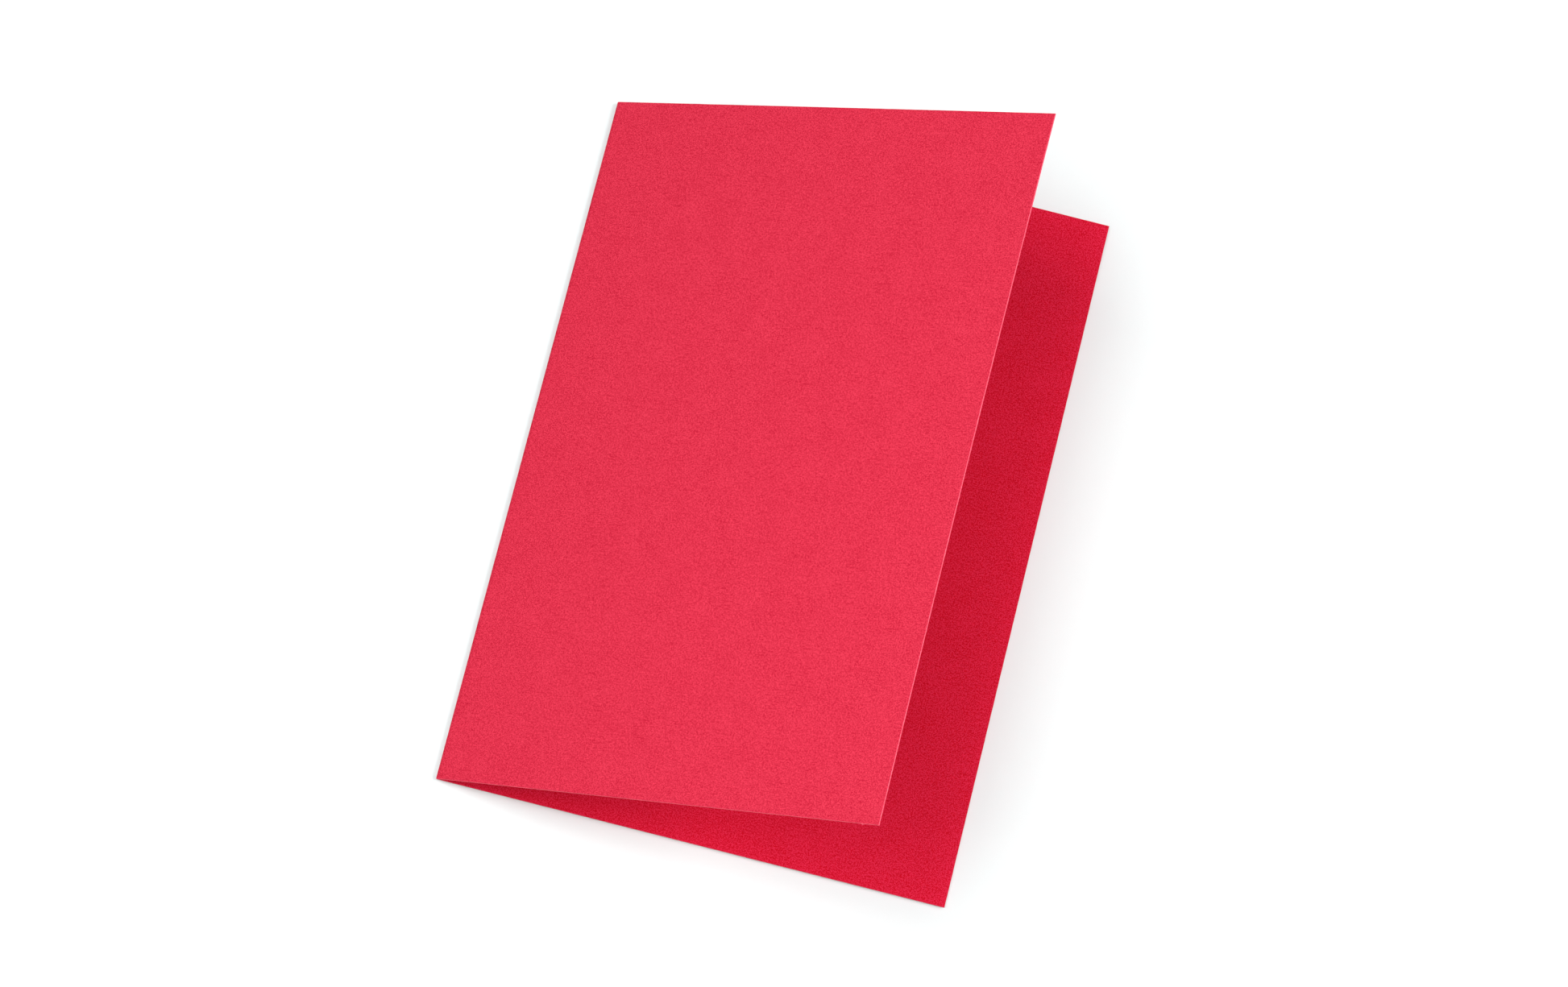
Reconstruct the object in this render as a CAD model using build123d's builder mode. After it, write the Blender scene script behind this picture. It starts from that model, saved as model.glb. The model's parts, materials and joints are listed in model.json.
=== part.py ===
"""Half-fold card: one sheet of dyed card stock with a scored fold along its left long side.

The card lies on its rear leaf and the front leaf stands open over it, hinged on the fold.
Frame: +X runs from the fold to the free edges, +Y runs up the fold and +Z points up. The
origin is under the middle of the rear leaf, on the surface that the card lies on.
"""

from build123d import *
import os

# Driving dimensions, in millimetres and degrees.
LEAF_WIDTH = 105.0  # outside of the fold to the free edge
LEAF_HEIGHT = 148.0  # along the fold
STOCK = 0.35  # thickness of the card, about 300 g per square metre
OPENING = 34.0  # angle between the leaves as the card lies
CREASE_GAP = 0.10  # from the fold's axis to each leaf's inner face
CREASE_LAND = 0.40  # flat part of the scored band on each side of the fold

# The fold's axis lies on the inside of the crease, so that the leaves close face to face
# and open out into one flat sheet without crossing each other.
AXIS_X = CREASE_GAP + STOCK - LEAF_WIDTH / 2
AXIS_Z = STOCK + CREASE_GAP
FOLD_AXIS = Vector(AXIS_X, 0, AXIS_Z)
BAND_RADIUS = CREASE_GAP + STOCK / 2  # of the sheet's middle, round the fold
PANEL_WIDTH = LEAF_WIDTH - CREASE_GAP - STOCK - CREASE_LAND  # scored band to free edge

# Sections are drawn across the fold, halfway up the card, with the fold's axis as their
# origin. Local x runs out along the leaf and local y points from its inner face outwards.
REAR_SECTION = Plane(origin=FOLD_AXIS, x_dir=(1, 0, 0), z_dir=(0, 1, 0))
FRONT_DIRECTION = Vector(1, 0, 0).rotate(Axis.Y, -OPENING)
FRONT_SECTION = Plane(origin=FOLD_AXIS, x_dir=FRONT_DIRECTION, z_dir=(0, -1, 0))


def panel_section() -> None:
    """Draws one leaf's section: the flat panel from the scored band to the free edge."""
    with Locations((CREASE_LAND, CREASE_GAP)):
        Rectangle(PANEL_WIDTH, STOCK, align=(Align.MIN, Align.MIN))


os.makedirs("parts", exist_ok=True)

# The rear leaf lies flat on its outer face and carries the card.
with BuildPart() as rear_leaf:
    with BuildSketch(REAR_SECTION):
        panel_section()
    extrude(amount=LEAF_HEIGHT / 2, both=True)
rear_leaf.part.label = "rear_leaf"
export_step(rear_leaf.part, "parts/rear_leaf.step")

# The front leaf is the same panel, turned up about the fold by the opening angle.
with BuildPart() as front_leaf:
    with BuildSketch(FRONT_SECTION):
        panel_section()
    extrude(amount=LEAF_HEIGHT / 2, both=True)
front_leaf.part.label = "front_leaf"
export_step(front_leaf.part, "parts/front_leaf.step")

# The scored band joins the leaves: a short land on each of them and the bend between,
# whose faces are round about the fold's axis. It is the piece that flexes.
with BuildPart() as fold_crease:
    with BuildSketch(REAR_SECTION):
        with BuildLine() as sheet_middle:
            Line((CREASE_LAND, BAND_RADIUS), (0, BAND_RADIUS))
            bend = CenterArc((0, 0), BAND_RADIUS, 90, 180 - OPENING)
            Line(bend @ 1, bend @ 1 + (bend % 1) * CREASE_LAND)
        trace(sheet_middle.line, line_width=STOCK)
    extrude(amount=LEAF_HEIGHT / 2, both=True)
fold_crease.part.label = "fold_crease"
export_step(fold_crease.part, "parts/fold_crease.step")
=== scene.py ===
"""Looks of a blank half-fold card: dyed, uncoated stock with one scored fold.

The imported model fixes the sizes, the fold's axis and the opening. Here the two leaves and
the fold are built again as one thin sheet in three pieces, with the curl, the trimmed edges
and the paper finish of a real card, and the card is set on a white studio table.
"""

from __future__ import annotations

import json
import logging
import math
from abc import ABC, abstractmethod
from dataclasses import dataclass
from enum import Enum
from typing import Mapping, Optional, Sequence, Union

import bpy
import numpy as np
from mathutils import Matrix, Vector, noise


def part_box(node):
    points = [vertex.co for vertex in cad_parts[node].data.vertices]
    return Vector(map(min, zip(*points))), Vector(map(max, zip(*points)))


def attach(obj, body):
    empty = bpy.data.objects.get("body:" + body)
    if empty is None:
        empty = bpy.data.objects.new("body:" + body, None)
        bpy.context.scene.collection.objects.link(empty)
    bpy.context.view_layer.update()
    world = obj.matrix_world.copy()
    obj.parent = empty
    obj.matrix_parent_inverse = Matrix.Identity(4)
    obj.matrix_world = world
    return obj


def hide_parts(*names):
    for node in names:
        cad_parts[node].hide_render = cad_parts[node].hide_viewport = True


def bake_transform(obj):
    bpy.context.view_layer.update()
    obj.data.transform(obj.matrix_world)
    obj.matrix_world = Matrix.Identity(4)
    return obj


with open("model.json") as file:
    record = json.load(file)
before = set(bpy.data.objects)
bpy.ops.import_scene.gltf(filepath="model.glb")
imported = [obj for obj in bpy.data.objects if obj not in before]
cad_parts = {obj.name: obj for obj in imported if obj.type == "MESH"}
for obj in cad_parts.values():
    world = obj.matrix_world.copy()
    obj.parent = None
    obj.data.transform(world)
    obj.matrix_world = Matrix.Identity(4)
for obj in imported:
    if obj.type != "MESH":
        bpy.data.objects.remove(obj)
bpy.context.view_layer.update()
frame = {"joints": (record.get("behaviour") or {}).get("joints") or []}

MM = 0.001
PLACE = "sheet_place"  # where a point lies on the unfolded sheet, in millimetres

PITCH = 0.8 * MM  # about how far apart the grid's lines are on the sheet
BORDER = 0.12 * MM  # width of its first and last steps
BEND_LINES = 15  # lines of the grid round the fold

# A Mix node repeats its sockets for each kind of data: these are the ones for colours.
MIX_LOW = 6
MIX_HIGH = 7
MIX_RESULT = 2

log = logging.getLogger("card")

Colour = tuple[float, float, float]
Range = tuple[float, float]


# --------------------------------------------------------------------------------------
# Shader maths
# --------------------------------------------------------------------------------------


class Wire:
    """One output socket of a shader tree, with arithmetic that adds the nodes it needs."""

    def __init__(self, bench: "Bench", socket: bpy.types.NodeSocket) -> None:
        """Keeps the socket and the tree that it belongs to.

        Args:
            bench: The tree that further nodes are added to.
            socket: The output socket to compute with.
        """
        self.bench = bench
        self.socket = socket

    def _math(self, operation: str, *values: "Value", clamp: bool = False) -> "Wire":
        """Adds one Math node on values and returns its result."""
        settings = {"operation": operation, "use_clamp": clamp}
        return self.bench.node("ShaderNodeMath", settings, dict(enumerate(values)))

    def __add__(self, other: "Value") -> "Wire":
        """Returns self + other."""
        return self._math("ADD", self, other)

    __radd__ = __add__

    def __sub__(self, other: "Value") -> "Wire":
        """Returns self - other."""
        return self._math("SUBTRACT", self, other)

    def __rsub__(self, other: "Value") -> "Wire":
        """Returns other - self."""
        return self._math("SUBTRACT", other, self)

    def __mul__(self, other: "Value") -> "Wire":
        """Returns self * other."""
        return self._math("MULTIPLY", self, other)

    __rmul__ = __mul__

    def clamped(self) -> "Wire":
        """Returns the value held between 0 and 1."""
        return self._math("ADD", self, 0.0, clamp=True)

    def size(self) -> "Wire":
        """Returns the value without its sign."""
        return self._math("ABSOLUTE", self)

    def ramp(self, low: float, high: float) -> "Wire":
        """Returns 0 below low and 1 above high, rising smoothly between them.

        Args:
            low: Value where the result leaves 0.
            high: Value where the result reaches 1; it may be under low for a fall.

        Returns:
            The smoothed step.
        """
        settings = {"interpolation_type": "SMOOTHSTEP"}
        inputs = {"Value": self, "From Min": low, "From Max": high}
        return self.bench.node("ShaderNodeMapRange", settings, inputs)

    def stretched(self, factors: tuple[float, float, float]) -> "Wire":
        """Returns this vector multiplied axis by axis.

        Args:
            factors: One factor for each axis.

        Returns:
            The scaled vector.
        """
        return self.bench.node(
            "ShaderNodeVectorMath", {"operation": "MULTIPLY"}, {0: self, 1: factors}
        )


Value = Union[Wire, float, int, Sequence[float]]


class Bench:
    """A material's node tree, filled one node at a time."""

    def __init__(self, name: str) -> None:
        """Makes an empty material.

        Args:
            name: The material's name.
        """
        self.material = bpy.data.materials.new(name)
        self.material.use_nodes = True
        self.tree = self.material.node_tree
        self.tree.nodes.clear()

    def add(
        self,
        kind: str,
        settings: Optional[Mapping[str, object]] = None,
        inputs: Optional[Mapping[Union[str, int], Value]] = None,
    ) -> bpy.types.Node:
        """Adds a node, sets it up and wires or fills its sockets.

        Args:
            kind: The node's type name.
            settings: Properties of the node, set before its sockets are touched.
            inputs: Values or wires by socket name or index.

        Returns:
            The node.
        """
        made = self.tree.nodes.new(kind)
        for key, value in (settings or {}).items():
            setattr(made, key, value)
        for key, value in (inputs or {}).items():
            if isinstance(value, Wire):
                self.tree.links.new(value.socket, made.inputs[key])
            else:
                made.inputs[key].default_value = value
        return made

    def node(
        self,
        kind: str,
        settings: Optional[Mapping[str, object]] = None,
        inputs: Optional[Mapping[Union[str, int], Value]] = None,
        output: Union[str, int] = 0,
    ) -> Wire:
        """Adds a node as add does and keeps one of its outputs.

        Args:
            kind: The node's type name.
            settings: Properties of the node.
            inputs: Values or wires by socket name or index.
            output: Name or index of the output to return.

        Returns:
            The chosen output, ready for arithmetic.
        """
        return Wire(self, self.add(kind, settings, inputs).outputs[output])

    def place(self) -> Wire:
        """Returns the point's place on the unfolded sheet, in millimetres."""
        return self.node("ShaderNodeAttribute", {"attribute_name": PLACE}, output="Vector")

    def from_fold(self, at: Wire) -> Wire:
        """Returns how far a place on the sheet is from the middle of the fold."""
        return self.node("ShaderNodeSeparateXYZ", {}, {0: at}, "X").size()

    def cloud(self, at: Wire, blot: float, detail: float) -> Wire:
        """Returns fractal noise about 0.5.

        Args:
            at: Where to read the noise.
            blot: Size of its largest blots, in the unit of at.
            detail: How many finer octaves are added, each half as strong as the last.

        Returns:
            The noise value.
        """
        inputs = {"Vector": at, "Scale": 1 / blot, "Detail": detail, "Roughness": 0.5}
        return self.node("ShaderNodeTexNoise", {"noise_dimensions": "3D"}, inputs)

    def flecks(self, at: Wire, pitch_mm: float, size: float, share: float) -> Wire:
        """Returns small round flecks, 1 inside one and 0 between them.

        Args:
            at: Where to read the pattern, in millimetres.
            pitch_mm: Size of the cells that can each hold a fleck.
            size: A fleck's radius as a share of the cell.
            share: Share of the cells that hold one.

        Returns:
            The fleck mask.
        """
        inputs = {"Vector": at, "Scale": 1 / pitch_mm, "Randomness": 1.0}
        cells = self.add("ShaderNodeTexVoronoi", {"feature": "F1"}, inputs)
        middle = Wire(self, cells.outputs["Distance"])
        colour = Wire(self, cells.outputs["Color"])
        chosen = self.node("ShaderNodeSeparateColor", {}, {0: colour})
        return middle.ramp(size, 0.4 * size) * chosen.ramp(share, 0.8 * share)

    def blend(self, factor: Value, low: Value, high: Value) -> Wire:
        """Returns a mix of two colours.

        Args:
            factor: 0 gives low and 1 gives high.
            low: The first colour, as four numbers or a wire.
            high: The second colour.

        Returns:
            The mixed colour.
        """
        settings = {"data_type": "RGBA", "clamp_factor": True}
        inputs = {0: factor, MIX_LOW: low, MIX_HIGH: high}
        return self.node("ShaderNodeMix", settings, inputs, MIX_RESULT)

    def bump(self, height: Wire, depth_mm: float) -> Wire:
        """Returns a normal tilted by a height pattern.

        Args:
            height: The pattern, about 0 to 1.
            depth_mm: What a height of 1 stands for, in millimetres.

        Returns:
            The bumped normal.
        """
        inputs = {"Height": height, "Distance": depth_mm * MM, "Strength": 1.0}
        return self.node("ShaderNodeBump", {}, inputs)

    def surface(self, inputs: Mapping[Union[str, int], Value]) -> bpy.types.Material:
        """Closes the tree with a principled surface.

        Args:
            inputs: The surface's sockets.

        Returns:
            The finished material.
        """
        shader = self.node("ShaderNodeBsdfPrincipled", {}, inputs)
        self.add("ShaderNodeOutputMaterial", {}, {"Surface": shader})
        return self.material


def opaque(colour: Colour) -> tuple[float, float, float, float]:
    """Returns a colour with full alpha."""
    return (*colour, 1.0)


# --------------------------------------------------------------------------------------
# Finishes
# --------------------------------------------------------------------------------------


@dataclass(frozen=True)
class DyedStock:
    """One face of uncoated card that is dyed right through."""

    name: str
    deep: Colour
    pale: Colour
    sheen: float
    contrast: float
    # Sizes of the pattern, in millimetres.
    cloud_mm: float = 6.0
    mottle_mm: float = 0.85
    tooth_mm: float = 0.38
    grain_mm: float = 0.19
    streak_length_mm: float = 4.0
    streak_width_mm: float = 0.22
    patch_mm: float = 9.0
    fleck_pitch_mm: float = 1.7
    score_mm: float = 0.9
    tooth_depth_mm: float = 0.012
    # How much each layer lightens or darkens the stock about its middle tone.
    middle_tone: float = 0.55
    cloud_tone: float = 0.20
    mottle_tone: float = 0.30
    tooth_tone: float = 0.66
    grain_tone: float = 1.48
    streak_tone: float = -0.62
    fleck_tone: float = -0.35
    # The scored line darkens the stock: painted shade along its groove.
    score_painted_shade: float = -0.16
    # How high each layer stands, as a share of the tooth's depth.
    tooth_rise: float = 0.8
    grain_rise: float = 1.0
    streak_rise: float = -0.5
    fleck_rise: float = -0.5
    score_rise: float = -1.5
    # Roughness between high and low places of the tooth, and how much the tooth changes it.
    matt: float = 0.74
    tooth_shine: float = 0.25
    # Which values of the noise are a streak or a patch that holds streaks, and a fleck's
    # radius and number as shares of its cells.
    streak_range: Range = (0.62, 0.80)
    patch_range: Range = (0.42, 0.60)
    fleck_size: float = 0.14
    fleck_share: float = 0.16

    @classmethod
    def outer(cls) -> "DyedStock":
        """Gives the felt side of the stock, which is a little paler than the inner face, whose
        darker colour is partly painted shade.

        Returns:
            The finish.
        """
        return cls(
            name="felt_side",
            deep=(0.520, 0.0003, 0.026),
            pale=(0.746, 0.0322, 0.075),
            sheen=0.25,
            contrast=1.50,
        )

    @classmethod
    def inner(cls) -> "DyedStock":
        """Gives the wire side of the stock, a darker, deeper red: partly its own dye and partly
        painted shade for the inside of the card.

        Returns:
            The finish.
        """
        return cls(
            name="wire_side_and_painted_shade",
            # Darker and deeper than the outer face: partly the wire side's own dye, partly
            # painted shade.
            deep=(0.522, 0.0000, 0.011),
            pale=(0.682, 0.0168, 0.062),
            sheen=0.08,
            contrast=2.40,
        )

    def pattern(self, bench: Bench, at: Wire) -> tuple[Wire, Wire, Wire]:
        """Lays out the tooth, the streaks and the flecks of the stock, and its scored line,
        which is darkened with painted shade along its groove.

        Args:
            bench: The material's node tree.
            at: Where to read the pattern, in millimetres.

        Returns:
            The colour, the roughness and the height.
        """
        cloud = bench.cloud(at, self.cloud_mm, 2.0) - 0.5
        mottle = bench.cloud(at, self.mottle_mm, 1.0) - 0.5
        tooth = bench.cloud(at, self.tooth_mm, 0.0) - 0.5
        grain = bench.cloud(at, self.grain_mm, 0.0) - 0.5
        drawn = at.stretched((1 / self.streak_length_mm, 1 / self.streak_width_mm, 1.0))
        patch = bench.cloud(at, self.patch_mm, 1.0).ramp(*self.patch_range)
        streak = bench.cloud(drawn, 1.0, 2.0).ramp(*self.streak_range) * patch
        fleck = bench.flecks(at, self.fleck_pitch_mm, self.fleck_size, self.fleck_share)
        groove_and_shade = bench.from_fold(at).ramp(self.score_mm, 0.3 * self.score_mm)
        tone = self.cloud_tone * cloud + self.mottle_tone * mottle
        tone = tone + self.tooth_tone * tooth + self.grain_tone * grain
        tone = tone + self.streak_tone * streak + self.fleck_tone * fleck
        # Near the fold the scored line darkens the tone: painted shade in its groove.
        tone = self.middle_tone + self.contrast * (tone + self.score_painted_shade * groove_and_shade)
        colour = bench.blend(tone, opaque(self.deep), opaque(self.pale))
        height = 0.5 + self.tooth_rise * tooth + self.grain_rise * grain
        height = height + self.streak_rise * streak + self.fleck_rise * fleck
        height = height + self.score_rise * groove_and_shade
        return colour, (self.matt - self.tooth_shine * tooth).clamped(), height

    def material(self) -> bpy.types.Material:
        """Builds the finish.

        Returns:
            The material.
        """
        bench = Bench(self.name)
        colour, roughness, height = self.pattern(bench, bench.place())
        return bench.surface(
            {
                "Base Color": colour,
                "Roughness": roughness,
                "Normal": bench.bump(height, self.tooth_depth_mm),
                "Specular IOR Level": self.sheen,
            }
        )


@dataclass(frozen=True)
class CutEdge:
    """The guillotined edge, where torn fibres stand up and catch the light. Its colours are
    paler than the faces: partly the fibres' own colour, partly a painted highlight along the
    edge.
    """

    # Both paler than the faces: partly the torn fibres' own colour, partly painted highlight.
    core: Colour = (0.800, 0.040, 0.090)
    pale_fibre_and_highlight: Colour = (0.870, 0.140, 0.200)
    ply_mm: float = 0.07
    fibre_mm: float = 0.25
    tuft_mm: float = 1.6
    ply_depth_mm: float = 0.05
    ply_range: Range = (0.36, 0.66)
    matt: float = 0.86
    sheen: float = 0.3

    def material(self) -> bpy.types.Material:
        """Builds the finish.

        Returns:
            The material.
        """
        bench = Bench("cut_edge_fibres_and_highlight")
        at = bench.place()
        layered = at.stretched((1.0, 1.0, self.fibre_mm / self.ply_mm))
        plies = bench.cloud(layered, self.fibre_mm, 3.0)
        tufts = bench.cloud(at, self.tuft_mm, 2.0)
        tone = plies.ramp(*self.ply_range) * (0.5 + tufts)
        return bench.surface(
            {
                "Base Color": bench.blend(tone, opaque(self.core), opaque(self.pale_fibre_and_highlight)),
                "Roughness": (self.matt + 0.1 * tufts).clamped(),
                "Normal": bench.bump(plies, self.ply_depth_mm),
                "Specular IOR Level": self.sheen,
            }
        )


@dataclass(frozen=True)
class FoldFibres:
    """The stock over the fold, where stretched fibres have opened into pale hairlines."""

    stock: DyedStock
    crack: Colour = (0.820, 0.100, 0.150)
    crack_width_mm: float = 0.09
    crack_length_mm: float = 1.4
    crack_range: Range = (0.58, 0.72)
    crack_share: float = 0.35
    crack_rise: float = -0.4

    def material(self) -> bpy.types.Material:
        """Builds the finish.

        Returns:
            The material.
        """
        bench = Bench("fold_fibres")
        at = bench.place()
        colour, roughness, height = self.stock.pattern(bench, at)
        drawn = at.stretched((1 / self.crack_width_mm, 1 / self.crack_length_mm, 1.0))
        cracks = bench.cloud(drawn, 1.0, 3.0).ramp(*self.crack_range)
        height = height + self.crack_rise * cracks
        return bench.surface(
            {
                "Base Color": bench.blend(self.crack_share * cracks, colour, opaque(self.crack)),
                "Roughness": (roughness + 0.1 * cracks).clamped(),
                "Normal": bench.bump(height, self.stock.tooth_depth_mm),
                "Specular IOR Level": self.stock.sheen,
            }
        )


@dataclass(frozen=True)
class TableTop:
    """The pale studio table, balanced round the card against the red light off its faces.

    It starts to glow at the near radius and glows fully from the far one, in metres.
    """

    balanced: Colour = (0.770, 0.838, 0.836)
    plain: Colour = (0.833, 0.838, 0.836)
    glow_near: Colour = (0.01, 0.01, 0.01)
    glow_far: Colour = (0.85, 0.85, 0.85)
    near: float = 0.25
    far: float = 0.90
    mist_size: float = 0.35
    matt: float = 0.8
    sheen: float = 0.2

    def material(self) -> bpy.types.Material:
        """Builds the finish, which glows softly where the lamps don't reach.

        Returns:
            The material.
        """
        bench = Bench("table_top")
        at = bench.node("ShaderNodeTexCoord", {}, {}, "Object")
        away = bench.node("ShaderNodeVectorMath", {"operation": "LENGTH"}, {0: at}, "Value")
        mist = bench.cloud(at, self.mist_size, 3.0)
        far = away.ramp(self.near, self.far)
        glow = bench.blend(far, opaque(self.glow_near), opaque(self.glow_far))
        return bench.surface(
            {
                "Base Color": bench.blend(far, opaque(self.balanced), opaque(self.plain)),
                "Roughness": (self.matt + 0.1 * mist).clamped(),
                "Emission Color": glow,
                "Emission Strength": 1.0,
                "Specular IOR Level": self.sheen,
            }
        )


# --------------------------------------------------------------------------------------
# The folded sheet
# --------------------------------------------------------------------------------------


class Leaf(Enum):
    """The two leaves of the card."""

    REAR = "rear_leaf"
    FRONT = "front_leaf"


class Side(Enum):
    """The four sides of a piece of sheet, as steps across and along the fold."""

    NEAR_FOLD = (-1, 0)
    FREE = (1, 0)
    BOTTOM = (0, -1)
    TOP = (0, 1)


class Finish(Enum):
    """The finishes of a piece of sheet, in the order of its material slots."""

    OUTER = 0
    INNER = 1
    RIM = 2


@dataclass(frozen=True)
class Sheet:
    """Sizes of the folded sheet, in metres, and its opening in radians."""

    stock: float
    height: float
    reach: float
    gap: float
    axis: Vector
    opening: float

    @classmethod
    def from_frame(cls) -> "Sheet":
        """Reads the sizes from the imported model.

        Returns:
            The sheet.
        """
        low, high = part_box("rear_leaf")
        axis = Vector(frame["joints"][0]["pos_m"])
        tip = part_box("front_leaf")[1]
        stock = high.z - low.z
        gap = axis.z - high.z
        rise = tip.z - axis.z
        run = tip.x - axis.x
        opening = math.atan2(rise, run)
        opening -= math.asin((gap + stock * 0.5) / math.hypot(rise, run))
        return cls(stock, high.y - low.y, high.x - axis.x, gap, axis, opening)

    @property
    def turn(self) -> float:
        """How far the sheet turns round the fold, in radians."""
        return math.pi - self.opening

    @property
    def half_bend(self) -> float:
        """Half the length of the bend along the middle of the sheet."""
        return 0.5 * self.turn * (self.gap + self.stock / 2)

    def directions(self, leaf: Leaf) -> tuple[np.ndarray, np.ndarray]:
        """Gives a leaf's directions at rest.

        Args:
            leaf: Which leaf.

        Returns:
            The direction from the fold to the free edge, and from the inner to the outer face.
        """
        angle = 0.0 if leaf is Leaf.REAR else self.opening
        out = np.array([math.cos(angle), 0.0, math.sin(angle)])
        face = np.array([-math.sin(angle), 0.0, math.cos(angle)])
        return out, -face if leaf is Leaf.REAR else face


def smooth(x: np.ndarray) -> np.ndarray:
    """Returns a smooth step from 0 at 0 to 1 at 1."""
    x = np.clip(x, 0.0, 1.0)
    return x * x * (3 - 2 * x)


def ripple(points: np.ndarray, size: float, seed: float) -> np.ndarray:
    """Gives gentle solid noise at each point.

    Args:
        points: The points, one row each, in metres.
        size: Size of the waves, in metres.
        seed: Moves the pattern to another part of the noise.

    Returns:
        One value for each point, about -1 to 1.
    """
    shift = Vector((seed, 0.37 * seed, 0.0))
    return np.array([noise.noise(Vector(p) / size + shift) for p in points])


@dataclass(frozen=True)
class Burr:
    """A tuft of torn fibres that stands out from a trimmed side."""

    side: Side
    place: float
    reach: float
    width: float

    def spread(self) -> np.ndarray:
        """Gives the five places along the side where the tuft needs points."""
        return self.place + self.width * np.linspace(-1.0, 1.0, 5)

    def height(self, places: np.ndarray) -> np.ndarray:
        """Gives how far the tuft stands out at places along its side."""
        return self.reach * np.exp(-((2 * (places - self.place) / self.width) ** 2))


@dataclass
class SheetPiece(ABC):
    """A closed piece of the sheet: two faces of one grid, joined round the rim."""

    sheet: Sheet
    name: str
    node: str
    cut_sides: Sequence[Side]
    across: np.ndarray
    along: np.ndarray
    # The rim's section, from the inner face to the outer one: how deep each line of it
    # lies in the stock and how far it stands out, as a share of the trim.
    rim_depth: Sequence[float] = (0.0, 0.12, 0.5, 0.88, 1.0)
    rim_swell: Sequence[float] = (0.0, 0.8, 1.0, 0.8, 0.0)
    trim: float = 0.05 * MM
    fray: float = 1.7 * MM  # length of the waves in the trimmed rim
    fray_seed: float = 29.0
    burrs: Sequence[Burr] = ()
    # Whether across, along and outwards are the other way round than on the rear leaf, so
    # that the faces have to be turned over to look outwards.
    mirrored: bool = False

    @abstractmethod
    def shape(self, across: np.ndarray, along: np.ndarray, depth: np.ndarray) -> np.ndarray:
        """Places points of the piece where the resting card has them.

        Args:
            across: Distance or angle from the start of the piece.
            along: Place along the fold.
            depth: 0 on the inner face to 1 on the outer one.

        Returns:
            The points, one row each.
        """

    @abstractmethod
    def unfolded(self, across: np.ndarray) -> np.ndarray:
        """Gives the distance from the middle of the fold along the unfolded sheet."""

    def rim_loop(self) -> list[tuple[int, int]]:
        """Lists the grid's border points once round.

        Returns:
            Each point's steps across and along.
        """
        last_a, last_b = len(self.across) - 1, len(self.along) - 1
        loop = [(i, 0) for i in range(last_a)]
        loop += [(last_a, j) for j in range(last_b)]
        loop += [(i, last_b) for i in range(last_a, 0, -1)]
        loop += [(0, j) for j in range(last_b, 0, -1)]
        return loop

    def swell(self, step: int, low: Side, high: Side, last: int) -> int:
        """Tells which way a border point's rim stands out.

        Args:
            step: The point's number in its row.
            low: The side that the row starts at.
            high: The side that the row ends at.
            last: The row's last number.

        Returns:
            -1, 0 or 1.
        """
        if step == 0 and low in self.cut_sides:
            return -1
        return 1 if step == last and high in self.cut_sides else 0

    def ragged(
        self, across: np.ndarray, along: np.ndarray, way_a: np.ndarray, way_b: np.ndarray
    ) -> np.ndarray:
        """Gives how far the trimmed rim stands out at each border point.

        Args:
            across: The border points' places across.
            along: Their places along the fold.
            way_a: Which way the rim faces across, or 0.
            way_b: Which way it faces along, or 0.

        Returns:
            The distances.
        """
        points = np.column_stack([across, along, np.zeros_like(across)])
        out = self.trim * (0.75 + 0.5 * ripple(points, self.fray, self.fray_seed))
        for burr in self.burrs:
            way = burr.side.value
            on_side = (way_a == way[0]) & (way_b == way[1])
            places = across if way[0] == 0 else along
            out = out + np.where(on_side, burr.height(places), 0.0)
        return out

    def build(self) -> bpy.types.Object:
        """Builds the mesh and places it in the scene.

        Returns:
            The piece's object.
        """
        rows, columns = len(self.across), len(self.along)
        grid_a, grid_b = np.meshgrid(self.across, self.along, indexing="ij")
        a, b = [grid_a.ravel()] * 2, [grid_b.ravel()] * 2
        depth = [np.zeros(rows * columns), np.ones(rows * columns)]
        loop = self.rim_loop()
        base = 2 * rows * columns
        rings = [np.array([i * columns + j for i, j in loop])]
        border_a = np.array([self.across[i] for i, _ in loop])
        border_b = np.array([self.along[j] for _, j in loop])
        way_a = [self.swell(i, Side.NEAR_FOLD, Side.FREE, rows - 1) for i, _ in loop]
        way_b = [self.swell(j, Side.BOTTOM, Side.TOP, columns - 1) for _, j in loop]
        ragged = self.ragged(border_a, border_b, np.array(way_a), np.array(way_b))
        for level in range(1, len(self.rim_depth) - 1):
            out = ragged * self.rim_swell[level]
            a.append(border_a + out * way_a)
            b.append(border_b + out * way_b)
            depth.append(np.full(len(loop), self.rim_depth[level]))
            rings.append(base + np.arange(len(loop)) + (level - 1) * len(loop))
        rings.append(rings[0] + rows * columns)
        a_all, b_all, d_all = (np.concatenate(x) for x in (a, b, depth))
        faces, marks = self.grid_faces(rows, columns)
        rim_faces, rim_marks = self.rim_faces(rings, loop, rows)
        mesh = bpy.data.meshes.new(self.name)
        points = self.shape(a_all, b_all, d_all)
        mesh.from_pydata(points.tolist(), [], faces + rim_faces)
        mesh.polygons.foreach_set("material_index", marks + rim_marks)
        mesh.polygons.foreach_set("use_smooth", [True] * len(mesh.polygons))
        self.mark_place(mesh, a_all, b_all, d_all)
        self.sharpen(mesh)
        if self.mirrored:
            mesh.flip_normals()
        mesh.update()
        made = bpy.data.objects.new(self.name, mesh)
        bpy.context.scene.collection.objects.link(made)
        return made

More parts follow.
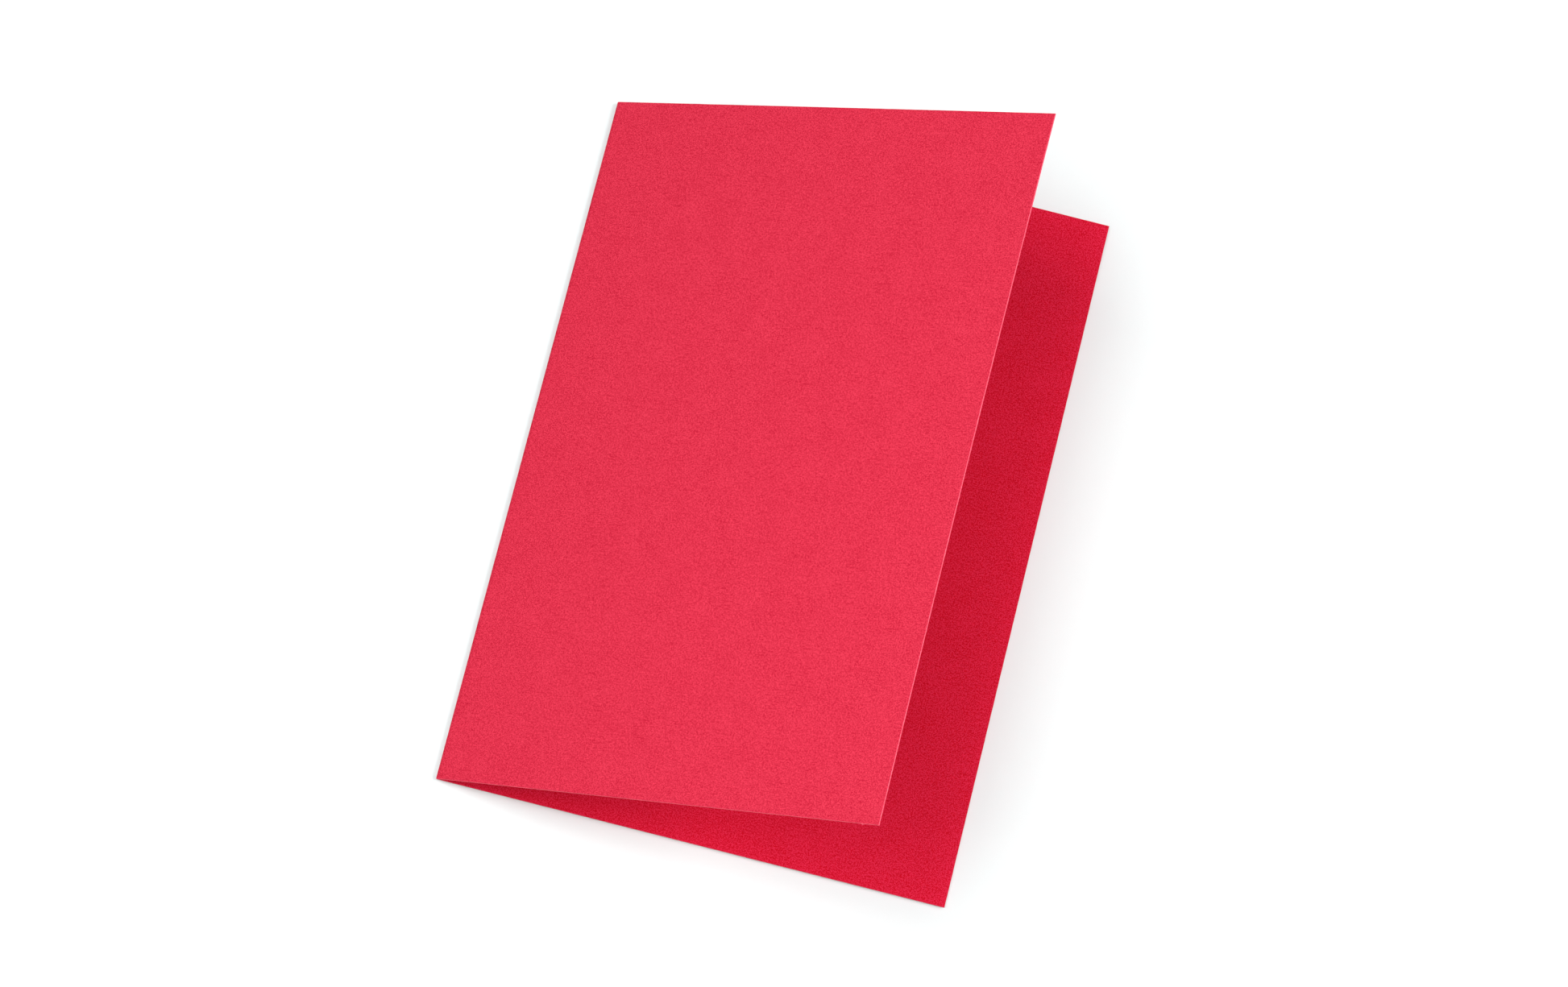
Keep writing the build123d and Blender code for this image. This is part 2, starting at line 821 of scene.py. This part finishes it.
    @staticmethod
    def grid_faces(rows: int, columns: int) -> tuple[list[tuple[int, ...]], list[int]]:
        """Lists the quads of the two faces, with their finish.

        Args:
            rows: Points across.
            columns: Points along.

        Returns:
            The quads, and the finish number of each.
        """
        outer = rows * columns
        quads: list[tuple[int, ...]] = []
        for i in range(rows - 1):
            for j in range(columns - 1):
                corner = (
                    i * columns + j,
                    (i + 1) * columns + j,
                    (i + 1) * columns + j + 1,
                    i * columns + j + 1,
                )
                quads.append(corner)
                quads.append(tuple(outer + k for k in reversed(corner)))
        return quads, [Finish.INNER.value, Finish.OUTER.value] * (len(quads) // 2)

    def rim_faces(
        self, rings: Sequence[np.ndarray], loop: Sequence[tuple[int, int]], rows: int
    ) -> tuple[list[tuple[int, ...]], list[int]]:
        """Lists the quads round the rim, with their finish.

        Args:
            rings: The rim's lines of vertices, from the inner face to the outer one.
            loop: The border points that each line follows.
            rows: Points across.

        Returns:
            The quads, and the finish number of each.
        """
        quads: list[tuple[int, ...]] = []
        marks: list[int] = []
        count = len(loop)
        for k in range(count):
            nxt = (k + 1) % count
            here, there = loop[k], loop[nxt]
            seam = here[0] == there[0] == 0 and Side.NEAR_FOLD not in self.cut_sides
            seam |= here[0] == there[0] == rows - 1 and Side.FREE not in self.cut_sides
            for low, high in zip(rings, rings[1:]):
                quads.append((int(low[k]), int(high[k]), int(high[nxt]), int(low[nxt])))
                marks.append(Finish.OUTER.value if seam else Finish.RIM.value)
        return quads, marks

    def mark_place(
        self, mesh: bpy.types.Mesh, across: np.ndarray, along: np.ndarray, depth: np.ndarray
    ) -> None:
        """Writes each point's place on the unfolded sheet, for the finishes.

        Args:
            mesh: The mesh to write on.
            across: The points' places across.
            along: Their places along the fold.
            depth: Their depths.
        """
        place = np.column_stack([self.unfolded(across), along, depth * self.sheet.stock]) / MM
        layer = mesh.attributes.new(PLACE, "FLOAT_VECTOR", "POINT")
        layer.data.foreach_set("vector", place.astype(np.float32).ravel())

    @staticmethod
    def sharpen(mesh: bpy.types.Mesh) -> None:
        """Keeps the shading crisp where a face meets the rim.

        Args:
            mesh: The mesh, with its finishes already marked.
        """
        finish = np.zeros(len(mesh.polygons), np.int32)
        mesh.polygons.foreach_get("material_index", finish)
        seen: dict[int, int] = {}
        sharp = np.zeros(len(mesh.edges), bool)
        for polygon, mark in zip(mesh.polygons, finish):
            for corner in polygon.loop_indices:
                edge = mesh.loops[corner].edge_index
                if seen.setdefault(edge, int(mark)) != mark:
                    sharp[edge] = True
        layer = mesh.attributes.new("sharp_edge", "BOOLEAN", "EDGE")
        layer.data.foreach_set("value", sharp)


def spaced(low: float, high: float) -> np.ndarray:
    """Divides a length evenly, with one narrow step at each end.

    Args:
        low: Where it starts.
        high: Where it ends.

    Returns:
        The places.
    """
    steps = max(2, round((high - low) / PITCH))
    middle = np.linspace(low + BORDER, high - BORDER, steps)
    return np.concatenate([[low], middle, [high]])


@dataclass
class CardLeaf(SheetPiece):
    """One leaf of the card, from the fold to its three trimmed edges."""

    leaf: Leaf = Leaf.REAR
    # How far the free edge stands from the flat panel: its bow, its tilt from bottom to
    # top and its middle, outwards positive.
    middle: float = 0.0
    tilt: float = 0.0
    bow: float = 0.0
    curl_power: float = 1.6
    # The cockle is slight waves of two sizes, which start a little way from the fold. Its
    # seed picks the part of the noise that the waves come from.
    cockle_seed: float = 0.0
    cockle: float = 0.02 * MM
    wide_waves: float = 16 * MM
    narrow_waves: float = 7 * MM
    flat_by_fold: float = 8 * MM
    # The leaf starts this far from the fold, so that the two don't rub when opened flat.
    clearance: float = 0.01 * MM

    @classmethod
    def make(
        cls,
        sheet: Sheet,
        leaf: Leaf,
        middle: float,
        tilt: float,
        bow: float,
        cockle_seed: float,
        burrs: Sequence[Burr] = (),
    ) -> "CardLeaf":
        """Sets up a leaf of the card.

        Args:
            sheet: The folded sheet.
            leaf: Which leaf.
            middle: Where the middle of the free edge stands.
            tilt: How far the top corner stands out beyond the bottom one, halved.
            bow: How far the corners fall back from the middle.
            cockle_seed: Which part of the noise its cockle comes from.
            burrs: The tufts on its trimmed sides.

        Returns:
            The leaf.
        """
        half = sheet.height / 2 - cls.trim
        across = spaced(cls.clearance, sheet.reach - cls.trim)
        along = spaced(-half, half)
        for burr in burrs:
            if burr.side.value[0] == 0:
                across = np.union1d(across, burr.spread())
            else:
                along = np.union1d(along, burr.spread())
        return cls(
            sheet,
            name=f"{leaf.value}_stock",
            node=leaf.value,
            cut_sides=(Side.FREE, Side.BOTTOM, Side.TOP),
            across=across,
            along=along,
            burrs=burrs,
            mirrored=leaf is Leaf.FRONT,
            leaf=leaf,
            middle=middle,
            tilt=tilt,
            bow=bow,
            cockle_seed=cockle_seed,
        )

    def shape(self, across: np.ndarray, along: np.ndarray, depth: np.ndarray) -> np.ndarray:
        """Places points of the leaf, with its curl and its slight cockle.

        Args:
            across: Distance from the fold.
            along: Place along the fold.
            depth: 0 on the inner face to 1 on the outer one.

        Returns:
            The points, one row each.
        """
        out, face = self.sheet.directions(self.leaf)
        v = 2 * along / self.sheet.height
        curl = self.middle + self.tilt * v - self.bow * v * v
        rise = curl * np.clip(across / self.sheet.reach, 0, 1) ** self.curl_power
        flat = np.column_stack([across, along, np.zeros_like(across)])
        waves = ripple(flat, self.wide_waves, self.cockle_seed)
        waves = waves + 0.5 * ripple(flat, self.narrow_waves, self.cockle_seed + 5)
        rise += self.cockle * waves * smooth(across / self.flat_by_fold)
        if self.leaf is Leaf.REAR:
            rise = np.minimum(rise, 0.0)  # it never dips into what it lies on
        away = self.sheet.gap + depth * self.sheet.stock + rise
        line = np.array(self.sheet.axis) + np.column_stack([0 * along, along, 0 * along])
        return line + across[:, None] * out + away[:, None] * face

    def unfolded(self, across: np.ndarray) -> np.ndarray:
        """Gives the distance from the middle of the fold along the unfolded sheet."""
        way = 1 if self.leaf is Leaf.REAR else -1
        return way * (across + self.sheet.half_bend)


@dataclass
class FoldBend(SheetPiece):
    """The bend of the sheet round the fold's axis, from one leaf to the other."""

    @classmethod
    def make(cls, sheet: Sheet) -> "FoldBend":
        """Sets up the bend.

        Args:
            sheet: The folded sheet.

        Returns:
            The bend.
        """
        half = sheet.height / 2 - cls.trim
        along = spaced(-half, half)
        across = np.linspace(0.0, sheet.turn, BEND_LINES)
        return cls(
            sheet,
            name="fold_bend_stock",
            node="fold_crease",
            cut_sides=(Side.BOTTOM, Side.TOP),
            across=across,
            along=along,
            mirrored=True,
        )

    def shape(self, across: np.ndarray, along: np.ndarray, depth: np.ndarray) -> np.ndarray:
        """Places points of the bend.

        Args:
            across: Angle turned from the rear leaf, in radians.
            along: Place along the fold.
            depth: 0 on the inner face to 1 on the outer one.

        Returns:
            The points, one row each.
        """
        away = self.sheet.gap + depth * self.sheet.stock
        round_x = -away * np.sin(across)
        round_z = -away * np.cos(across)
        return np.array(self.sheet.axis) + np.column_stack([round_x, along, round_z])

    def unfolded(self, across: np.ndarray) -> np.ndarray:
        """Gives the distance from the middle of the fold along the unfolded sheet."""
        return self.sheet.half_bend * (1 - 2 * across / self.sheet.turn)


@dataclass
class Card:
    """The whole card: its two leaves and the fold between them."""

    sheet: Sheet
    outer: bpy.types.Material
    inner: bpy.types.Material
    fold: bpy.types.Material
    edge: bpy.types.Material

    def build(self) -> None:
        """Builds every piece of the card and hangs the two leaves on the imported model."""
        reach, height = self.sheet.reach, self.sheet.height
        rear = CardLeaf.make(
            self.sheet,
            Leaf.REAR,
            middle=-0.06 * MM,
            tilt=-0.12 * MM,
            bow=0.06 * MM,
            cockle_seed=11.0,
        )
        tufts = (
            Burr(Side.BOTTOM, place=0.9645 * reach, reach=0.24 * MM, width=0.45 * MM),
            Burr(Side.FREE, place=0.322 * height, reach=0.12 * MM, width=0.40 * MM),
        )
        front = CardLeaf.make(
            self.sheet,
            Leaf.FRONT,
            middle=0.22 * MM,
            tilt=-0.25 * MM,
            bow=0.52 * MM,
            cockle_seed=3.0,
            burrs=tufts,
        )
        for part in (rear, front):
            piece = self.dress(part, self.outer)
            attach(piece, part.leaf.value)
        bend = self.dress(FoldBend.make(self.sheet), self.fold)
        middle = self.sheet.opening / 2
        step = Vector((-math.sin(middle), 0, math.cos(middle)))
        step *= (self.sheet.gap + self.sheet.stock) * math.sin(self.sheet.turn / 2)
        self.sheet.axis - step
        self.sheet.axis + step
        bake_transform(bend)

    def dress(self, part: SheetPiece, outer: bpy.types.Material) -> bpy.types.Object:
        """Builds one piece and gives it its finishes.

        Args:
            part: The piece to build.
            outer: The finish of its outer face.

        Returns:
            The piece's object.
        """
        piece = part.build()
        for finish in (outer, self.inner, self.edge):
            piece.data.materials.append(finish)
        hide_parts(part.node)
        log.info("built %s: %d faces", piece.name, len(piece.data.polygons))
        return piece


# --------------------------------------------------------------------------------------
# The studio
# --------------------------------------------------------------------------------------


@dataclass(frozen=True)
class SoftBox:
    """A large soft lamp that looks at the card.

    Azimuth 0 stands below the card's bottom edge and 90 beyond its free edge, in degrees.
    Distance and size are in metres, and power is in watts.
    """

    name: str
    azimuth: float
    elevation: float
    distance: float
    size: float
    power: float

    def build(self) -> None:
        """Places the lamp and turns it towards the card."""
        lamp = bpy.data.lights.new(self.name, "AREA")
        lamp.shape = "SQUARE"
        lamp.size = self.size
        lamp.energy = self.power
        turn = Matrix.Rotation(math.radians(self.azimuth), 4, "Z")
        turn @= Matrix.Rotation(math.radians(90 - self.elevation), 4, "X")
        made = bpy.data.objects.new(self.name, lamp)
        made.matrix_world = turn @ Matrix.Translation((0, 0, self.distance))
        bpy.context.scene.collection.objects.link(made)


@dataclass(frozen=True)
class Camera:
    """A long lens that looks down on the card, a little from its bottom edge.

    Lengths are in metres unless the name says otherwise, and angles in degrees.
    """

    aim: Vector = Vector((0.9 * MM, 1.3 * MM, 0.0))
    distance: float = 1.152
    tilt: float = 15.50
    azimuth: float = 1.5
    roll: float = 12.75
    lens_mm: float = 129.8
    sensor_mm: float = 36.0
    clip: Range = (0.05, 20.0)

    def build(self) -> None:
        """Places the camera and makes it the scene's own."""
        lens = bpy.data.cameras.new("camera")
        lens.sensor_width = self.sensor_mm
        lens.lens = self.lens_mm
        lens.clip_start, lens.clip_end = self.clip
        turn = Matrix.Rotation(math.radians(self.azimuth), 4, "Z")
        turn @= Matrix.Rotation(math.radians(self.tilt), 4, "X")
        turn @= Matrix.Rotation(math.radians(self.roll), 4, "Z")
        made = bpy.data.objects.new("camera", lens)
        place = Matrix.Translation(self.aim) @ turn
        made.matrix_world = place @ Matrix.Translation((0, 0, self.distance))
        bpy.context.scene.collection.objects.link(made)
        bpy.context.scene.camera = made


@dataclass(frozen=True)
class Studio:
    """The white table, the soft light round it and the camera."""

    table_radius: float = 2.6
    rim_radius: float = 0.4
    rings: int = 8
    spokes: int = 64
    drop: float = 0.30 * MM  # under the card, which never lies quite flat
    sky: Colour = (1.0, 1.0, 1.0)
    sky_strength: float = 0.01
    lamps: tuple[SoftBox, ...] = (
        SoftBox("key_softbox", -90.0, 60.0, distance=1.2, size=0.9, power=5.6),
        SoftBox("top_softbox", -110.0, 65.0, distance=1.2, size=0.5, power=3.15),
        SoftBox("near_softbox", -30.0, 70.0, distance=0.6, size=0.45, power=1.7),
        SoftBox("fill_softbox", 100.0, 40.0, distance=1.2, size=0.9, power=15.0),
    )

    def build(self) -> None:
        """Builds the table, the lamps, the sky and the camera."""
        self.build_table()
        self.build_sky()
        for lamp in self.lamps:
            lamp.build()
        Camera().build()
        bpy.context.scene.view_settings.view_transform = "Standard"

    def table_section(self) -> list[tuple[float, float]]:
        """Draws the table from near its middle to its rim, which sweeps up all round.

        Returns:
            Radius and height of each ring.
        """
        radii = np.linspace(0.0, self.table_radius, self.rings + 1)[1:]
        flat = [(radius, 0.0) for radius in radii]
        sweep = [
            (
                self.table_radius + self.rim_radius * math.sin(turn),
                self.rim_radius * (1 - math.cos(turn)),
            )
            for turn in np.linspace(0.0, math.pi / 2, self.rings + 1)[1:]
        ]
        return flat + sweep

    def build_table(self) -> None:
        """Builds the table top, just under the card."""
        spokes = self.spokes
        section = self.table_section()
        angles = np.linspace(0.0, 2 * math.pi, spokes, endpoint=False)
        points = [(0.0, 0.0, -self.drop)]
        for radius, height in section:
            points += [
                (radius * math.cos(a), radius * math.sin(a), height - self.drop) for a in angles
            ]
        faces: list[tuple[int, ...]] = []
        for k in range(spokes):
            nxt = (k + 1) % spokes
            faces.append((0, 1 + k, 1 + nxt))
            for ring in range(len(section) - 1):
                low, high = 1 + ring * spokes, 1 + (ring + 1) * spokes
                faces.append((low + k, high + k, high + nxt, low + nxt))
        mesh = bpy.data.meshes.new("table_top")
        mesh.from_pydata(points, [], faces)
        mesh.polygons.foreach_set("use_smooth", [True] * len(mesh.polygons))
        mesh.materials.append(TableTop().material())
        table = bpy.data.objects.new("table_top", mesh)
        bpy.context.scene.collection.objects.link(table)

    def build_sky(self) -> None:
        """Surrounds the table with even white light."""
        world = bpy.data.worlds.new("white_room")
        world.use_nodes = True
        background = world.node_tree.nodes["Background"]
        background.inputs["Color"].default_value = opaque(self.sky)
        background.inputs["Strength"].default_value = self.sky_strength
        bpy.context.scene.world = world


def main() -> None:
    """Builds the card and its studio."""
    logging.basicConfig(level=logging.INFO, format="%(name)s: %(message)s")
    sheet = Sheet.from_frame()
    log.info("opening %.2f degrees", math.degrees(sheet.opening))
    card = Card(
        sheet,
        outer=DyedStock.outer().material(),
        inner=DyedStock.inner().material(),
        fold=FoldFibres(DyedStock.outer()).material(),
        edge=CutEdge().material(),
    )
    card.build()
    Studio().build()


if __name__ == "__main__":
    main()
